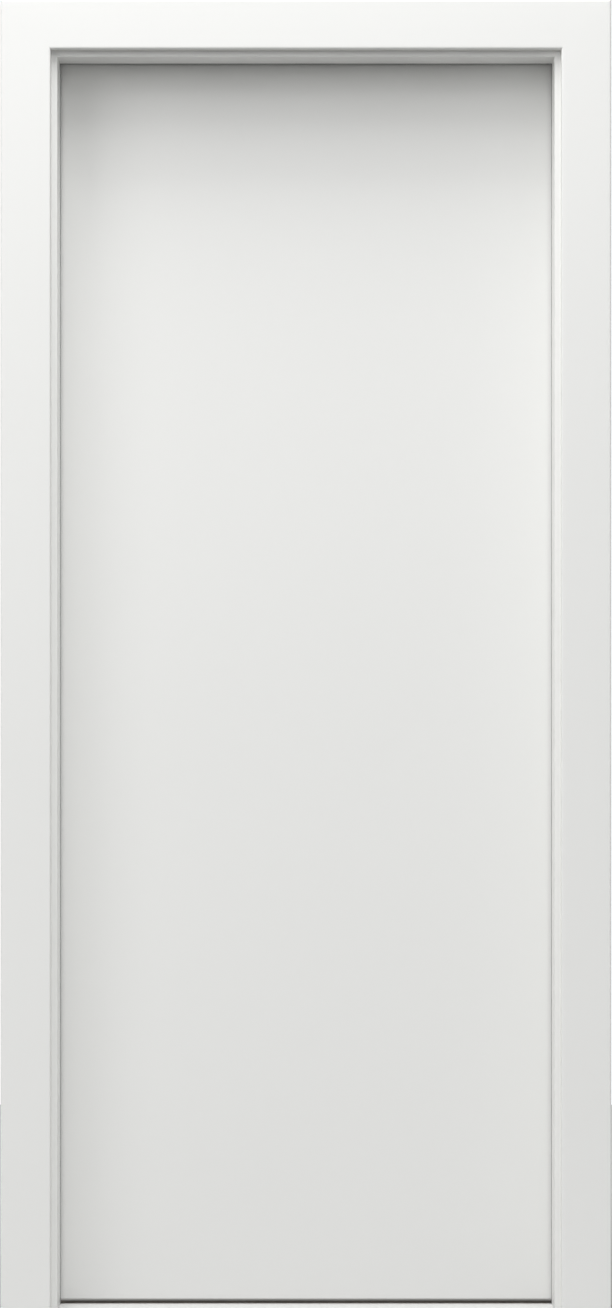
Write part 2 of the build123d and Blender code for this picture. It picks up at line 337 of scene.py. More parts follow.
FIBRE_DARK = (0.42, 0.30, 0.19)
FIBRE_LIGHT = (0.60, 0.46, 0.31)
FIBRE_WAVES = 700.0
FIBRE_HEIGHT = 0.12 * MM
FLECK_WAVES = 45.0
FIBRE_AND_FLECK_RANGE = (0.75, 1.25)
BARE_ROUGHNESS = 0.88

OVERSPRAY_WAVES = 90.0
OVERSPRAY_FROM = 1.0 * MM
OVERSPRAY_TO = 7.0 * MM


def rim_of_casing(tree, parts):
    """Distance in from the rim of the push-side casings, and nearly that of the pull-side ones."""
    from_left = maths(tree, "SUBTRACT", parts["X"], low("front_casing_head").x)
    from_right = maths(tree, "SUBTRACT", high("front_casing_head").x, parts["X"])
    from_top = maths(tree, "SUBTRACT", casing_top, parts["Z"])
    return least(tree, from_left, from_right, from_top, parts["Z"])


def rim_of_lining(tree, parts):
    """Distance in from the front and back edges of the lining."""
    from_front = maths(tree, "SUBTRACT", parts["Y"], lining_front)
    from_back = maths(tree, "SUBTRACT", lining_back, parts["Y"])
    return least(tree, from_front, from_back, parts["Z"])


def lacquered(name, bare_planes, rim=None, grain=(1, 1, 1)):
    """White lacquer that turns to bare board beyond the planes, ragged by overspray along the rim."""
    material, tree, shader, place = new_material(name)
    parts = add_node(tree, "ShaderNodeSeparateXYZ", {0: place}).outputs
    bare = beyond(tree, parts, bare_planes)
    if rim:
        mist = noise(tree, place, OVERSPRAY_WAVES, detail=4.0)
        ragged = maths(tree, "MULTIPLY_ADD", mist, -OVERSPRAY_TO, rim(tree, parts))
        half = OVERSPRAY_TO / 2
        covered = spread(tree, ragged, OVERSPRAY_FROM - half, half, 0.0, 1.0, smooth=True)
        bare = maths(tree, "MULTIPLY", bare, covered)

    paint = toned(tree, noise(tree, place, CLOUD_WAVES), PAINT, CLOUD_TONES)
    fibres = noise(tree, place, FIBRE_WAVES, detail=5.0, stretch=grain)
    flecks = noise(tree, place, FLECK_WAVES, detail=3.0, stretch=grain)
    brown = spread(tree, maths(tree, "ADD", fibres, flecks), *FIBRE_AND_FLECK_RANGE, 0.0, 1.0)
    fibreboard = blend_colours(tree, brown, FIBRE_DARK, FIBRE_LIGHT)
    tree.links.new(blend_colours(tree, bare, paint, fibreboard), shader.inputs["Base Color"])

    haze = noise(tree, place, GLOSS_WAVES, detail=3.0)
    gloss = spread(tree, haze, *NOISE_RANGE, *LACQUER_ROUGHNESS)
    rough = spread(tree, bare, 0.0, 1.0, gloss, BARE_ROUGHNESS)
    tree.links.new(rough, shader.inputs["Roughness"])

    dimples = noise(tree, place, PEEL_WAVES, detail=1.0)
    peel = maths(tree, "MULTIPLY", dimples, PEEL_HEIGHT / FIBRE_HEIGHT)
    add_relief(tree, shader, spread(tree, bare, 0.0, 1.0, peel, fibres), FIBRE_HEIGHT)
    return material


foot = ("Z", -1, 0.0)
front_casing_lacquer = lacquered("front_casing_lacquer", [("Y", 1, lining_front), foot], rim_of_casing)
rebate_casing_lacquer = lacquered("rebate_casing_lacquer", [("Y", -1, lining_back), foot], rim_of_casing)
wall_side = [("X", -1, lining_left), ("X", 1, lining_right), ("Z", 1, lining_top)]
lining_lacquer = lacquered("lining_lacquer", [*wall_side, foot], rim_of_lining)
print("lacquer on casings and lining, orange peel of", 1 / PEEL_WAVES / MM, "mm waves")

# %% [markdown]
# The leaf has the same lacquer on its facings. Its edges are solid timber, so a close look
# finds a trace of grain under the paint. Grain is only noise that is drawn out along the
# timber: up the stiles and across the rails. The underside was never painted, as on most such
# leaves, and shows the wood.

# %% Leaf finishes
underside = ("Z", -1, leaf_bottom)
UPRIGHT = (1, 1, 0.03)
CROSSWISE = (0.03, 1, 1)
facing_lacquer = lacquered("facing_lacquer", [underside])
stile_lacquer = lacquered("stile_lacquer", [underside], grain=UPRIGHT)
rail_lacquer = lacquered("rail_lacquer", [underside], grain=CROSSWISE)
print("leaf underside is bare below", leaf_bottom + SKIN)

# %% [markdown]
# Inside the leaf is a tubular chipboard core. It stays hidden, but it is there in the exported
# parts, so it gets the look of pressed chips: Voronoi cells, each with its own brown.

# %% Core board
CHIPS = 260.0
CHIP_DARK = (0.50, 0.36, 0.22)
CHIP_LIGHT = (0.72, 0.57, 0.38)
CHIP_HEIGHT = 0.3 * MM
CHIP_ROUGHNESS = 0.9


def cells(tree, place, count):
    """Cells, so many to the metre: a value of its own for each, and the distance from its middle."""
    found = add_node(tree, "ShaderNodeTexVoronoi", {"Vector": place, "Scale": count}).outputs
    own_value = add_node(tree, "ShaderNodeSeparateColor", {0: found["Color"]}).outputs[0]
    return own_value, found["Distance"]


def chipboard(name):
    """Pressed chips: every cell has its own tone, and is hollow in its middle."""
    material, tree, shader, place = new_material(name)
    tone, distance = cells(tree, place, CHIPS)
    tree.links.new(blend_colours(tree, tone, CHIP_DARK, CHIP_LIGHT), shader.inputs["Base Color"])
    shader.inputs["Roughness"].default_value = CHIP_ROUGHNESS
    add_relief(tree, shader, distance, CHIP_HEIGHT)
    return material


core_board = chipboard("core_board")
print("chips of about", round(1 / CHIPS / MM, 1), "mm")

# %% [markdown]
# The hinges are plated in satin nickel, brushed on a lathe, so their fine lines run round the
# barrel: a pattern that changes fast along Z and hardly at all round the axis. The corner
# plates and screws are zinc plated. Zinc grows in flat crystals, which are cells again, this
# time with their own gloss. The pins are drawn steel, with lines along them. One function makes
# all three, from the pattern that it is given.

# %% Metals
METAL_TONES = (0.94, 1.04)
LATHE_WAVES = 5200.0
ROUND_THE_AXIS = (0.01, 0.01, 1)
DRAWN_WAVES = 3000.0
ALONG_THE_BAR = (1, 1, 0.01)
CRYSTALS = 320.0


def metal(name, colour, roughness, make_pattern, depth):
    """Metal whose tone and gloss follow a pattern from 0 to 1, with that pattern as fine relief."""
    material, tree, shader, place = new_material(name)
    pattern = make_pattern(tree, place)
    tree.links.new(toned(tree, pattern, colour, METAL_TONES), shader.inputs["Base Color"])
    tree.links.new(spread(tree, pattern, 0.0, 1.0, *roughness), shader.inputs["Roughness"])
    shader.inputs["Metallic"].default_value = 1.0
    add_relief(tree, shader, pattern, depth)
    return material


def lathe_lines(tree, place):
    """Fine lines round an upright axis."""
    return noise(tree, place, LATHE_WAVES, stretch=ROUND_THE_AXIS)


def crystals(tree, place):
    """Flat cells some three millimetres across, each with its own value."""
    return cells(tree, place, CRYSTALS)[0]


def drawn_lines(tree, place):
    """Lines along an upright bar."""
    return noise(tree, place, DRAWN_WAVES, stretch=ALONG_THE_BAR)


satin_nickel = metal("satin_nickel", (0.66, 0.65, 0.62), (0.24, 0.36), lathe_lines, 0.003 * MM)
zinc_plate = metal("zinc_plate", (0.58, 0.59, 0.60), (0.30, 0.48), crystals, 0.002 * MM)
pin_steel = metal("pin_steel", (0.62, 0.62, 0.61), (0.15, 0.25), drawn_lines, 0.002 * MM)
print("metals:", satin_nickel.name, zinc_plate.name, pin_steel.name)

# %% [markdown]
# Two soft materials are left: the rubber of the seal and the nylon of the bearing rings. The
# seal's rubber is dark grey, and this dark grey also paints the shade of the gap round the leaf
# as a dark line. Both are smooth mouldings, so they get only a little mottling and a fine grain.

# %% Rubber and nylon
MOTTLE_TONES = (0.96, 1.03)
GRAINS_TO_A_MOTTLE = 20
GRAIN_HEIGHT = 0.01 * MM


def moulded(name, colour, roughness, grain_waves):
    """Moulded soft material with a faint mottle and a fine grain."""
    material, tree, shader, place = new_material(name)
    mottle = noise(tree, place, grain_waves / GRAINS_TO_A_MOTTLE, detail=3.0)
    tree.links.new(toned(tree, mottle, colour, MOTTLE_TONES), shader.inputs["Base Color"])
    shader.inputs["Roughness"].default_value = roughness
    add_relief(tree, shader, noise(tree, place, grain_waves), GRAIN_HEIGHT)
    return material


# The seal's dark grey rubber also paints the shade of the gap round the leaf as a dark line.
seal_rubber = moulded("seal_rubber", (0.10, 0.10, 0.10), 0.62, 2500.0)
ring_nylon = moulded("ring_nylon", (0.85, 0.85, 0.83), 0.40, 4000.0)
print("soft materials:", seal_rubber.name, ring_nylon.name)

# %% [markdown]
# Now each solid gets its finish. The record says which slot every node belongs to. Boards need
# one thing more, because casings, lining and leaf are bare on different faces and differ in
# grain, so they go by the start of their names.

# %% Put the finishes on the solids
BY_SLOT = {
    "core_board": core_board,
    "seal_rubber": seal_rubber,
    "hinge_steel": satin_nickel,
    "plate_steel": zinc_plate,
    "pin_steel": pin_steel,
    "ring_plastic": ring_nylon,
}
BY_NAME = {
    "front_casing": front_casing_lacquer,
    "rebate_casing": rebate_casing_lacquer,
    "lining": lining_lacquer,
    "leaf_facing": facing_lacquer,
    "leaf_stile": stile_lacquer,
    "leaf_rail": rail_lacquer,
}
slot_of = {row["node"]: row["material_slot"] for row in frame["record"]["subparts"]}
for node, solid in frame["nodes"].items():
    finish = BY_SLOT.get(slot_of[node])
    for start, lacquer in BY_NAME.items():
        if finish is None and node.startswith(start):
            finish = lacquer
    solid.data.materials.clear()
    solid.data.materials.append(finish)
print("finishes in use:", sorted({solid.data.materials[0].name for solid in frame["nodes"].values()}))

# %% [markdown]
# The new pieces are all surfaces on a grid: a function gives a point for every row and column,
# and neighbouring points are joined by four-sided faces. The last column always meets the
# first. The last row may meet the first too, or the grid ends in caps or poles, whose corners
# are listed so as to agree with the faces beside them. Whether they all point outwards is not
# left to luck: the signed volume of such a shell is positive only if they do.


# %% From grids to closed shells
def grid_faces(rows, columns, wrap_rows=False):
    """Four-sided faces between neighbours on a grid whose last column joins its first."""
    row_count = rows if wrap_rows else rows - 1
    row, column = np.meshgrid(np.arange(row_count), np.arange(columns), indexing="ij")
    next_row = (row + 1) % rows
    next_column = (column + 1) % columns
    corners = (
        row * columns + column,
        row * columns + next_column,
        next_row * columns + next_column,
        next_row * columns + column,
    )
    return np.stack(corners, axis=-1).reshape(-1, 4)


def pole_faces(ring_start, columns, pole, flip):
    """Triangles that close a ring of points on one pole, turned to agree with the grid's faces."""
    ring = ring_start + np.arange(columns)
    following = ring_start + (np.arange(columns) + 1) % columns
    sides = (following, ring) if flip else (ring, following)
    return np.column_stack([*sides, np.full(columns, pole)])


def signed_volume(points, quads, triangles):
    """A sixth of the summed triple products of all triangles: positive where faces point outwards."""
    halves = [quads[:, [0, 1, 2]], quads[:, [0, 2, 3]], triangles]
    first, second, third = (points[np.concatenate(halves)[:, corner]] for corner in range(3))
    return float(np.einsum("ij,ij->i", first, np.cross(second, third)).sum() / 6)


def shell(points, quads, triangles=None):
    """A closed shell with its faces pointing outwards."""
    points = points.reshape(-1, 3)
    if triangles is None:
        triangles = np.zeros((0, 3), int)
    centred = points - points.mean(axis=0)
    if signed_volume(centred, quads, triangles) < 0:
        quads = quads[:, ::-1]
        triangles = triangles[:, ::-1]
    return points, quads, triangles


def grid_shell(rings, start_pole, end_pole):
    """Shell of a grid of rings, shape (rings, around, 3), that ends in a pole at each end."""
    count, around, _ = rings.shape
    points = np.concatenate([rings.reshape(-1, 3), [start_pole, end_pole]])
    first = pole_faces(0, around, count * around, True)
    last = pole_faces((count - 1) * around, around, count * around + 1, False)
    return shell(points, grid_faces(count, around), np.concatenate([first, last]))


SHARP = math.radians(32)


def make_piece(name, shells, finish, body, replaced=()):
    """One object from several shells, smooth up to the sharp angle, riding on its body."""
    points, quads, triangles = [], [], []
    start = 0
    for shell_points, shell_quads, shell_triangles in shells:
        points.append(shell_points)
        quads.append(shell_quads + start)
        triangles.append(shell_triangles + start)
        start += len(shell_points)
    mesh = bpy.data.meshes.new(name)
    faces = np.concatenate(quads).tolist() + np.concatenate(triangles).tolist()
    mesh.from_pydata(np.concatenate(points).tolist(), [], faces)
    mesh.polygons.foreach_set("use_smooth", np.ones(len(faces), bool))
    mesh.set_sharp_from_angle(angle=SHARP)
    mesh.materials.append(finish)
    piece = bpy.data.objects.new(name, mesh)
    bpy.context.collection.objects.link(piece)
    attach(piece, body)
    if replaced:
        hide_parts(*replaced)
    return piece


def triangle_count(piece):
    """Triangles in a piece's mesh: a face with n corners makes n - 2."""
    return len(piece.data.loops) - 2 * len(piece.data.polygons)


print("shells are turned outwards by their signed volume")

# %% [markdown]
# The seal is a hollow rubber bead on a barbed stem, pressed into a kerf in the lining's edge
# and mitred at the two upper corners. Its bead is a box with two rounded corners, and it stands
# a little way into the opening, where its dark grey paints the shade of the gap round the leaf
# as a dark line. The solids have it in three lengths. Here it is one extrusion: a profile, given
# by how far it lies outward from the opening and how deep in the wall, is carried up the hinge
# jamb, across the head and down the latch jamb. A point that lies further out turns the corner
# further out, which is exactly a mitre. Rounded stretches are true arcs, written as a centre, a
# radius and two angles.

# %% Seal
SEAL_WALL = 0.9 * MM
SEAL_ROUND = 2.0 * MM
STEM_OUTWARD = 6.0 * MM
STEM_CORE = 1.2 * MM
BARB_REACH = 1.4 * MM
BARB_COUNT = 3
BARB_STEPS = 8

seal_low, seal_high = low("seal_hinge"), high("seal_hinge")


def arc(centre, radius, start_degrees, stop_degrees, count=8):
    """Points on an arc in the plane of a profile: centre plus radius times (cos, sin)."""
    angle = np.radians(np.linspace(start_degrees, stop_degrees, count))
    return np.column_stack([centre[0] + radius * np.cos(angle), centre[1] + radius * np.sin(angle)])


def carried(outward, depth):
    """The profile at its four stations: both feet and both corners, shape (4, points, 3)."""
    level = np.zeros_like(outward)
    stations = [
        (clear_left - outward, depth, level),
        (clear_left - outward, depth, clear_top + outward),
        (clear_right + outward, depth, clear_top + outward),
        (clear_right + outward, depth, level),
    ]
    return np.stack([np.stack(station, axis=-1) for station in stations])


def bead(inset):
    """Closed loop of the bead drawn in by an inset: two corner arcs over a flat base."""
    nearest = clear_left - seal_high.x + inset
    farthest = clear_left - seal_low.x - inset
    radius = SEAL_ROUND - inset
    arc_depth = seal_high.y - SEAL_ROUND
    base_depth = lining_back + inset
    loop = np.concatenate(
        [
            arc((farthest - radius, arc_depth), radius, 0, 90),
            arc((nearest + radius, arc_depth), radius, 90, 180),
            [(nearest, base_depth), (farthest, base_depth)],
        ]
    )
    return loop.T


def hollow_bead():
    """Outer skin from foot to foot and inner skin back again, closed into one long ring."""
    outer = carried(*bead(0.0))
    inner = carried(*bead(SEAL_WALL))[::-1]
    rings = np.concatenate([outer, inner])
    return shell(rings, grid_faces(rings.shape[0], rings.shape[1], wrap_rows=True))


def barbed_stem():
    """Stem whose half width is its core plus a sawtooth: full at the top of a barb, gone at its end."""
    stem_length = lining_back - seal_low.y
    down = np.linspace(0.0, 1.0, BARB_COUNT * BARB_STEPS + 1)
    sawtooth = 1 - (down * BARB_COUNT) % 1.0
    teeth = np.where((down > 0) & (down < 1), sawtooth, 0)
    half_width = STEM_CORE / 2 + (BARB_REACH - STEM_CORE / 2) * teeth
    depth = lining_back + SEAL_WALL / 2 - down * (stem_length + SEAL_WALL / 2)
    outward = np.concatenate([STEM_OUTWARD + half_width, STEM_OUTWARD - half_width[::-1]])
    rings = carried(outward, np.concatenate([depth, depth[::-1]]))
    count, around, _ = rings.shape
    step = np.arange(len(down) - 1)
    across = np.column_stack([step + 1, step, around - 1 - step, around - 2 - step])
    caps = np.concatenate([across, across[:, ::-1] + (count - 1) * around])
    return shell(rings, np.concatenate([grid_faces(count, around), caps]))


seal = make_piece(
    "seal_run",
    [hollow_bead(), barbed_stem()],
    seal_rubber,
    "frame",
    ("seal_hinge", "seal_head", "seal_latch"),
)
print(f"seal bead {(seal_high.x - seal_low.x) / MM:.1f} mm wide, {triangle_count(seal)} triangles")

# %% [markdown]
# The push-side casings frame the picture. Their long arrises are milled before the lacquer
# goes on, and the light that falls off round the inner one draws the doorway's outline. The
# solids round it as a quarter circle, but in the picture it looks crisper. A superellipse
# gives that between the same two ends: where a circle's points are the cosine and the sine of
# an angle, its points are the same two to the power of 2 / n. At n = 2 it is the circle again,
# and at n = 4 it bulges out to look half as round. The section is carried round the opening
# like the seal's, and cut at the mitres into three boards.

# %% Push-side casings
ARRIS_REACH = 6.0 * MM
ARRIS_POWER = 4.0
TONGUE_LENGTH = 10.0 * MM
TONGUE_INSET = 4.5 * MM
TONGUE_HALF = 2.0 * MM


def arris(corner, toward, start_degrees, count=13):
    """Superellipse round a corner: centre plus reach times (cos, sin) to the power of 2 / n."""
    angle = np.radians(np.linspace(start_degrees, start_degrees + 90, count))
    turned_by = np.column_stack([np.cos(angle), np.sin(angle)])
    curve = np.sign(turned_by) * np.abs(turned_by) ** (2 / ARRIS_POWER)
    return np.array(corner) + ARRIS_REACH * (np.array(toward) + curve)


def casing_section():
    """Closed outline of the push-side casing with its tongue, as (outward, depth)."""
    inner = clear_left - high("front_casing_hinge").x
    outer = clear_left - low("front_casing_hinge").x
    tongue = inner + TONGUE_INSET
    back = [
        (outer, lining_front),
        (tongue + TONGUE_HALF, lining_front),
        (tongue + TONGUE_HALF, lining_front + TONGUE_LENGTH),
        (tongue - TONGUE_HALF, lining_front + TONGUE_LENGTH),
        (tongue - TONGUE_HALF, lining_front),
        (inner, lining_front),
    ]
    show_inner = arris((inner, casing_face), (1, 1), 180)
    show_outer = arris((outer, casing_face), (-1, 1), 270)
    return np.concatenate([show_inner, show_outer, back])


def board(section, first_station):
    """Length of a section between two stations, closed by its own outline cut into triangles."""
    rings = carried(*section.T)[first_station : first_station + 2]
    around = len(section)
    cut = np.array(tessellate_polygon([[Vector((*point, 0)) for point in section]]))
    first, second, third = (section[cut[:, corner]] for corner in range(3))
    turns_back = np.cross(second - first, third - first) < 0
    cut[turns_back] = cut[turns_back, ::-1]
    caps = np.concatenate([cut[:, ::-1], cut + around])
    return shell(rings, grid_faces(2, around), caps)


casings = {}
for station, place in enumerate(("hinge", "head", "latch")):
    casings[place] = make_piece(
        f"casing_{place}",
        [board(casing_section(), station)],
        front_casing_lacquer,
        "frame",
        (f"front_casing_{place}",),
    )
    print(casings[place].name, triangle_count(casings[place]), "triangles")

# %% [markdown]
# The steel plates that draw the mitres tight lie in pockets in the casings' backs. A pocket
# that crosses a mitre at 45 degrees would be awkward to build into a grid, so it is cut: a box
# stands where the pocket is, and a Boolean modifier takes it away from each board it meets.

# %% Pockets for the plates
POCKET_LENGTH = 70.4 * MM
POCKET_WIDTH = 18.4 * MM
SLOPES = {"hinge": 1, "latch": -1}


def pocket_box(corner):
    """Box round a plate, on the slope of its corner, and open to the wall."""
    plate = f"front_casing_plate_{corner}"
    middle = (low(plate) + high(plate)) / 2
    along = np.array([SLOPES[corner], 0, 1]) / math.sqrt(2) * POCKET_LENGTH / 2
    across = np.array([-SLOPES[corner], 0, 1]) / math.sqrt(2) * POCKET_WIDTH / 2
    ring = np.array([along + across, along - across, -along - across, -along + across])
    past_the_back = lining_front + POCKET_WIDTH
    levels = (low(plate).y, past_the_back)
    points = np.stack([ring + (middle.x, level, middle.z) for level in levels])
    caps = np.array([[3, 2, 1, 0], [4, 5, 6, 7]])
    return shell(points, np.concatenate([grid_faces(2, 4), caps]))


def cut_away(piece, cutter):
    """Take a closed shell away from a piece and keep the result as the piece's mesh."""
    box_mesh = bpy.data.meshes.new("cutter")
    box_mesh.from_pydata(cutter[0].tolist(), [], cutter[1].tolist())
    box_object = bpy.data.objects.new("cutter", box_mesh)
    bpy.context.collection.objects.link(box_object)
    cut = piece.modifiers.new("pocket", "BOOLEAN")
    cut.object = box_object
    cut.operation = "DIFFERENCE"
    cut.solver = "EXACT"
    evaluated = piece.evaluated_get(bpy.context.evaluated_depsgraph_get())
    piece.data = bpy.data.meshes.new_from_object(evaluated)
    piece.modifiers.clear()
    bpy.data.objects.remove(box_object)
    piece.data.set_sharp_from_angle(angle=SHARP)


for corner in SLOPES:
    for place in (corner, "head"):
        cut_away(casings[place], pocket_box(corner))
        print(casings[place].name, len(casings[place].data.polygons), "faces once pocketed")

# %% [markdown]
# The hinge barrels, pins and rings are turned parts, so each is a profile spun round the hinge
# axis. A barrel's profile runs from the middle of its free end over a rounded shoulder, past
# the fine joint where its cap is pressed on, to the mouth, and then back up the bore.

# %% Turned surfaces
AROUND = 72


def spun(profile, axis_xy):
    """Points at axis + radius (cos, sin) and height, for every profile point and every angle."""
    radius, height = profile.T
    angle = np.linspace(0, 2 * math.pi, AROUND, endpoint=False)
    x = axis_xy[0] + np.outer(radius, np.cos(angle))
    y = axis_xy[1] + np.outer(radius, np.sin(angle))
    z = np.outer(height, np.ones(AROUND))
    return np.stack([x, y, z], axis=-1)


def turned(profile, axis_xy):
    """Solid of revolution of a profile of (radius, height) that starts and ends on the axis."""
    rings = spun(profile[1:-1], axis_xy)
    return grid_shell(rings, (*axis_xy, profile[0, 1]), (*axis_xy, profile[-1, 1]))


def turned_ring(profile, axis_xy):
    """Ring of revolution of a closed profile that stays clear of the axis."""
    return shell(spun(profile, axis_xy), grid_faces(len(profile), AROUND, wrap_rows=True))


print("profiles are spun in", AROUND, "steps")

# %% [markdown]
# Each barrel holds on by two threaded spigots, which screw into the timber. A thread is a
# function of the angle and of the way along: the radius rises to a crest wherever the way
# along, counted in pitches, less the angle, counted in turns, is a whole number. The crest
# fades out towards the barrel, where the shank is plain, and towards the pointed tip.

# %% Threaded spigots
SPIGOT_RADIUS = 3.5 * MM
SPIGOT_CORE = 2.7 * MM
SPIGOT_SPACING = 24 * MM
THREAD_PITCH = 2.2 * MM
PLAIN_SHANK = 2.0 * MM
TIP_LENGTH = 2.5 * MM
TIP_SHARE = 0.25
CREST_FALL = 1.6
STEPS_TO_A_PITCH = 8
THREAD_AROUND = 36


def threaded(start, heading, length, plain_length):
    """Screw thread along a heading: core radius plus a crest that winds once for every pitch.

    The crest is 1 less its fall times the distance from the crest's line, 1 being half a pitch.
    """
    start, heading = np.array(start, float), np.array(heading, float)
    upright = np.array((0, 0, 1.0))
    side = np.cross(heading, upright)
    along = np.linspace(0, length, int(length / THREAD_PITCH * STEPS_TO_A_PITCH))
    turn = np.linspace(0, 1, THREAD_AROUND, endpoint=False)
    phase = (along[:, None] / THREAD_PITCH - turn[None, :]) % 1.0
    from_crest = 1 - np.abs(2 * phase - 1)
    crest = np.clip(1 - CREST_FALL * from_crest, 0, 1)
    threading = np.clip((along - plain_length) / THREAD_PITCH, 0, 1)[:, None]
    taper = np.clip((length - along) / TIP_LENGTH, TIP_SHARE, 1)[:, None]
    core = np.where(threading > 0, SPIGOT_CORE, SPIGOT_RADIUS)
    radius = (core + (SPIGOT_RADIUS - SPIGOT_CORE) * crest * threading) * taper
    angle = 2 * math.pi * turn[None, :]
    rings = (
        start
        + along[:, None, None] * heading
        + (radius * np.cos(angle))[..., None] * side
        + (radius * np.sin(angle))[..., None] * upright
    )
    return grid_shell(rings, start, start + length * heading)


print("thread depth", round((SPIGOT_RADIUS - SPIGOT_CORE) / MM, 2), "mm, pitch", THREAD_PITCH / MM)

# %% Profile of a barrel
SHOULDER = 2.2 * MM
DISH_RADIUS = 2.6 * MM
DISH_DEPTH = 0.4 * MM
CAP_LENGTH = 4.5 * MM
JOINT_DEPTH = 0.3 * MM
JOINT_HALF = 0.25 * MM
MOUTH_EASE = 0.4 * MM


def barrel_profile(radius, length, bore_radius, bore_depth):
    """Barrel from its free end to its mouth and up its bore, as (radius, way up from the mouth)."""
    free_end = [
        (0, length - DISH_DEPTH),
        (DISH_RADIUS - DISH_DEPTH, length - DISH_DEPTH),
        (DISH_RADIUS, length),
    ]
    shoulder = arc((radius - SHOULDER, length - SHOULDER), SHOULDER, 90, 0)
    joint_at = length - CAP_LENGTH
    cap_joint = [
        (radius, joint_at + JOINT_HALF + JOINT_DEPTH),
        (radius - JOINT_DEPTH, joint_at + JOINT_HALF),
        (radius - JOINT_DEPTH, joint_at - JOINT_HALF),
        (radius, joint_at - JOINT_HALF - JOINT_DEPTH),
    ]
    mouth = arc((radius - MOUTH_EASE, MOUTH_EASE), MOUTH_EASE, 0, -90, 5)
    bore = [(bore_radius, 0), (bore_radius, bore_depth), (0, bore_depth)]
    return np.concatenate([free_end, shoulder, cap_joint, mouth, bore])


print("cap joint", CAP_LENGTH / MM, "mm from a barrel's free end")

# %% Barrels with their spigots
BORE_PLAY = 0.05 * MM
BORE_SPARE = 1.0 * MM
SPIGOT_CLEAR_OF_BORE = 0.5 * MM


def radius_of(node):
    """Half the width of a round node's box."""
    return (high(node).x - low(node).x) / 2


def axis_of(number):
    """Axis of a hinge in plan, shared by all its pieces: the middle of its bearing ring's box."""
    ring_low, ring_high = low(f"hinge_ring_{number}"), high(f"hinge_ring_{number}")
    return ((ring_low.x + ring_high.x) / 2, (ring_low.y + ring_high.y) / 2)


def barrel(profile, axis_xy, middle_z, heading, root, reach, plain_to):
    """A turned barrel with two spigots that run from root to reach and are threaded past plain_to.

    All three are ways out from the barrel's axis.
    """
    shells = [turned(profile, axis_xy)]
    for side in (-1, 1):
        level = middle_z + side * SPIGOT_SPACING / 2
        start = (axis_xy[0] + root * heading[0], axis_xy[1] + root * heading[1], level)
        shells.append(threaded(start, heading, reach - root, plain_to - root))
    return shells


def hinge_barrels(number):
    """Frame barrel, mouth up, and leaf barrel, mouth down, at the places of their solids."""
    frame_node, leaf_node = f"hinge_frame_{number}", f"hinge_leaf_{number}"
    axis_xy, radius = axis_of(number), radius_of(f"hinge_ring_{number}")
    bore_radius = radius_of(f"hinge_pin_{number}") + BORE_PLAY
    root = bore_radius + SPIGOT_CLEAR_OF_BORE
    frame_mouth, frame_end = high(frame_node).z, low(frame_node).z
    leaf_mouth, leaf_end = low(leaf_node).z, high(leaf_node).z
    engagement = frame_mouth - low(f"hinge_pin_{number}").z
    length = leaf_end - leaf_mouth

    lower = barrel_profile(radius, length, bore_radius, engagement)
    lower[:, 1] = frame_mouth - lower[:, 1]
    frame_middle = (frame_mouth + frame_end) / 2
    frame_reach = axis_xy[1] - low(frame_node).y
    frame_plain = axis_xy[1] - rebate_face + PLAIN_SHANK
    into_frame = barrel(lower, axis_xy, frame_middle, (0, -1, 0), root, frame_reach, frame_plain)

    upper = barrel_profile(radius, length, bore_radius, engagement + BORE_SPARE)
    upper[:, 1] = leaf_mouth + upper[:, 1]
    leaf_middle = (leaf_mouth + leaf_end) / 2
    leaf_reach = high(leaf_node).x - axis_xy[0]
    leaf_plain = radius + PLAIN_SHANK
    into_leaf = barrel(upper, axis_xy, leaf_middle, (1, 0, 0), root, leaf_reach, leaf_plain)
    both = (("frame", into_frame, frame_node), ("leaf", into_leaf, leaf_node))
    return [
        make_piece(f"barrel_{body}_{number}", shells, satin_nickel, body, (node,))
        for body, shells, node in both
    ]


print("play round the pin", BORE_PLAY / MM, "mm")

# %% [markdown]
# The pin sits fast in the lower barrel and stands up into the upper one, so the leaf can be
# lifted off. A nylon ring between the two mouths carries the leaf. Both are profiles again. The
# pin is eased at its foot and domed at its tip, which finds its bore the more easily, and the
# ring is rounded over its outer edges.

# %% Pins and bearing rings
RING_PLAY = 0.2 * MM


def hinge_pin(number):
    """Pin of one hinge: a small arc at its foot, and a dome of half its radius at its tip."""
    node = f"hinge_pin_{number}"
    radius = radius_of(node)
    dome = radius / 2
    foot_z, tip_z = low(node).z, high(node).z
    profile = np.concatenate(
        [
            [(0, foot_z)],
            arc((radius - MOUTH_EASE, foot_z + MOUTH_EASE), MOUTH_EASE, -90, 0, 5),
            arc((radius - dome, tip_z - dome), dome, 0, 90),
            [(0, tip_z)],
        ]
    )
    shells = [turned(profile, axis_of(number))]
    return make_piece(f"pin_{number}", shells, pin_steel, "frame", (node,))


def hinge_ring(number):
    """Bearing ring of one hinge, with outer edges rounded by a third of its height."""
    node = f"hinge_ring_{number}"
    radius = radius_of(node)
    inner = radius_of(f"hinge_pin_{number}") + RING_PLAY
    foot_z, top_z = low(node).z, high(node).z
    edge = (top_z - foot_z) / 3
    profile = np.concatenate(
        [
            arc((radius - edge, foot_z + edge), edge, -90, 0, 5),
            arc((radius - edge, top_z - edge), edge, 0, 90, 5),
            [(inner, top_z), (inner, foot_z)],
        ]
    )
    shells = [turned_ring(profile, axis_of(number))]
    return make_piece(f"ring_{number}", shells, ring_nylon, "frame", (node,))


for number in (1, 2, 3):
    made = [*hinge_barrels(number), hinge_pin(number), hinge_ring(number)]
    print(f"hinge {number}:", {piece.name: triangle_count(piece) for piece in made})

# %% [markdown]
# The casings are drawn tight at their mitres by steel plates let into their backs, each with
# four screws, and two longer screws close each corner of the lining. Their heads are all that
# shows. A head is a shallow dome with a six-lobed socket: the socket's edge is a circle whose
# radius swings six times round, and the rings of the grid follow it down to the socket's
# floor. All heads of one plate are one mesh.

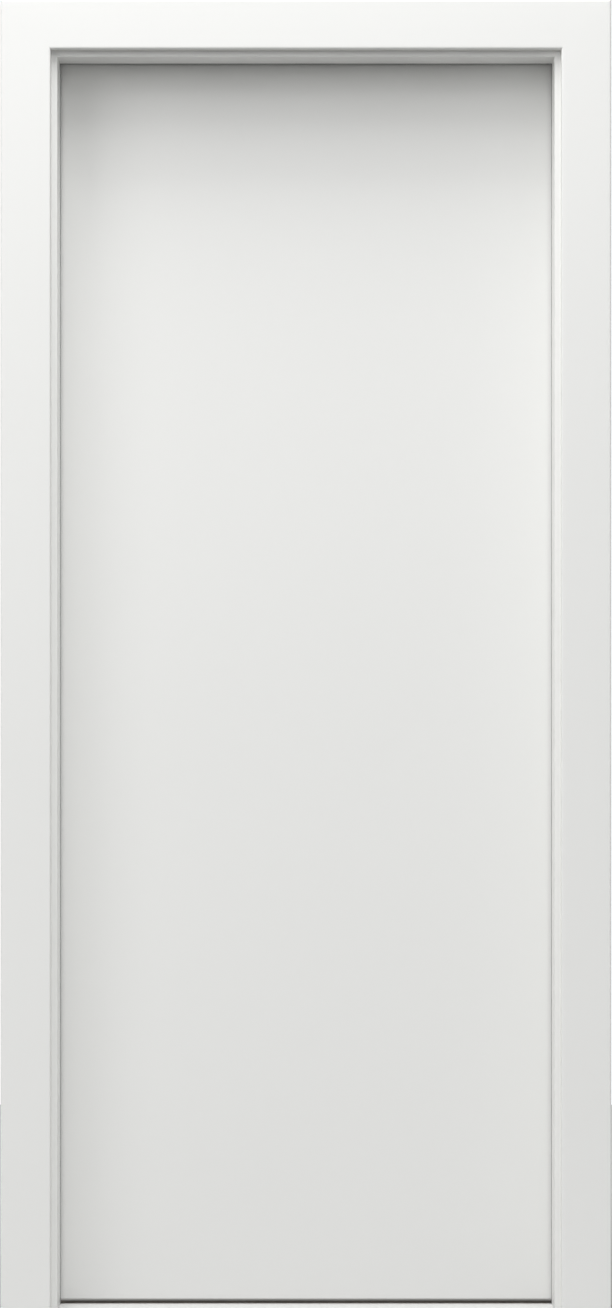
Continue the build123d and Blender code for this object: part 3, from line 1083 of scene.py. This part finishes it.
# %% Screw heads
HEAD_RADIUS = 3.6 * MM
HEAD_HEIGHT = 0.8 * MM
HEAD_SUNK = 0.3 * MM
HEAD_AROUND = 48
DOME_SHARES = ((1.0, 0.15), (0.93, 0.45), (0.78, 0.75), (0.60, 0.93))
SOCKET_LOBES = 6
SOCKET_RADIUS = 1.55 * MM
SOCKET_SWING = 0.24 * MM
SOCKET_FLARE = 0.12 * MM
SOCKET_LIP = 0.08 * MM
SOCKET_DEPTH = 0.75 * MM
SOCKET_TAPER = 0.94


def screw_head(centre, outward):
    """Domed head on a face: rings at a radius and a height, the socket's swinging with its lobes."""
    centre, outward = np.array(centre, float), np.array(outward, float)
    side = np.roll(outward, 1)
    other = np.cross(outward, side)
    turn = np.linspace(0, 2 * math.pi, HEAD_AROUND, endpoint=False)
    circle = np.ones(HEAD_AROUND)
    lobes = 1 + SOCKET_SWING / SOCKET_RADIUS * np.cos(SOCKET_LOBES * turn)
    steps = [
        (HEAD_RADIUS * circle, -HEAD_SUNK),
        *((HEAD_RADIUS * wide * circle, high_up * HEAD_HEIGHT) for wide, high_up in DOME_SHARES),
        ((SOCKET_RADIUS + SOCKET_FLARE) * lobes, HEAD_HEIGHT),
        (SOCKET_RADIUS * lobes, HEAD_HEIGHT - SOCKET_LIP),
        (SOCKET_RADIUS * SOCKET_TAPER * lobes, HEAD_HEIGHT - SOCKET_DEPTH),
    ]
    rings = np.stack(
        [
            centre
            + (radius * np.cos(turn))[:, None] * side
            + (radius * np.sin(turn))[:, None] * other
            + height * outward
            for radius, height in steps
        ]
    )
    back = centre - HEAD_SUNK * outward
    socket_floor = centre + (HEAD_HEIGHT - SOCKET_DEPTH) * outward
    return grid_shell(rings, back, socket_floor)


print("screw heads", 2 * HEAD_RADIUS / MM, "mm across")

# %% Screws of the plates
PLATE_SCREWS = (-26 * MM, -10 * MM, 10 * MM, 26 * MM)
for kind, outward in (("front_casing", 1), ("rebate_casing", -1)):
    for corner, slope in SLOPES.items():
        plate = f"{kind}_plate_{corner}"
        middle = (low(plate) + high(plate)) / 2
        face = high(plate).y if outward > 0 else low(plate).y
        heads = []
        for along in PLATE_SCREWS:
            shift = along / math.sqrt(2)
            centre = (middle.x + slope * shift, face, middle.z + shift)
            heads.append(screw_head(centre, (0, outward, 0)))
        made = make_piece(f"{plate}_screws", heads, zinc_plate, "frame")
        print(made.name, triangle_count(made), "triangles")

# %% Screws of the lining corners
LINING_SCREW_FROM_EDGE = 20 * MM
head_middle = (clear_top + lining_top) / 2
for corner, side, at in (("hinge", -1, lining_left), ("latch", 1, lining_right)):
    heads = [
        screw_head((at, depth, head_middle), (side, 0, 0))
        for depth in (lining_front + LINING_SCREW_FROM_EDGE, lining_back - LINING_SCREW_FROM_EDGE)
    ]
    made = make_piece(f"lining_screws_{corner}", heads, zinc_plate, "frame")
    print(made.name, triangle_count(made), "triangles")
